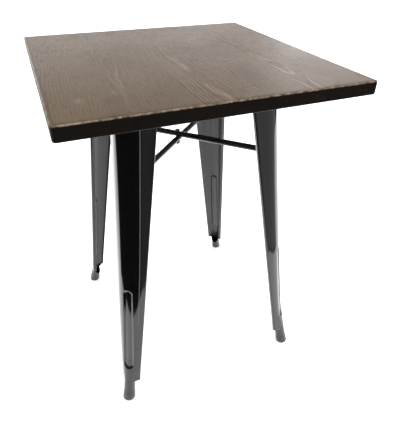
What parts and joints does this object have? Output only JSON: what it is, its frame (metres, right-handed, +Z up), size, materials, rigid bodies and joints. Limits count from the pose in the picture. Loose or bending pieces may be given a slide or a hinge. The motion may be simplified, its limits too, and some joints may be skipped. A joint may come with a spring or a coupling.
{
  "type": "bistro table",
  "caption": "Square bistro table with a glued wooden top on tapered pressed-steel channel legs, tied by crossed round braces.",
  "frame": {"origin": "on the floor, under the middle of the square top", "axes": "+Z up; +Y towards the back, along the boards of the top; +X to the right"},
  "size_m": [0.55, 0.55, 0.75],
  "materials": {
    "wood_dark": "dark stain under a satin lacquer",
    "steel_black": "gloss black powder coat",
    "fastener_black": "black oxide, satin",
    "insert_zinc": "zinc plated",
    "rubber_grey": "matt dark grey"
  },
  "bodies": {
    "root": {"top_board_1": "wood_dark", "top_board_2": "wood_dark", "top_board_3": "wood_dark", "top_board_4": "wood_dark", "top_board_5": "wood_dark", "leg_back_right": "steel_black", "leg_back_left": "steel_black", "leg_front_left": "steel_black", "leg_front_right": "steel_black", "leg_plate_back_right": "steel_black", "leg_plate_back_left": "steel_black", "leg_plate_front_left": "steel_black", "leg_plate_front_right": "steel_black", "brace_tab_back_right": "steel_black", "brace_tab_back_left": "steel_black", "brace_tab_front_left": "steel_black", "brace_tab_front_right": "steel_black", "foot_cup_back_right": "steel_black", "foot_cup_back_left": "steel_black", "foot_cup_front_left": "steel_black", "foot_cup_front_right": "steel_black", "foot_glide_back_right": "rubber_grey", "foot_glide_back_left": "rubber_grey", "foot_glide_front_left": "rubber_grey", "foot_glide_front_right": "rubber_grey", "brace_upper": "steel_black", "brace_lower": "steel_black", "cross_bolt": "fastener_black", "cross_nut": "fastener_black", "brace_end_bolts": "fastener_black", "brace_end_nuts": "fastener_black", "plate_screws": "fastener_black", "threaded_inserts": "insert_zinc"}
  },
  "joints": []
}
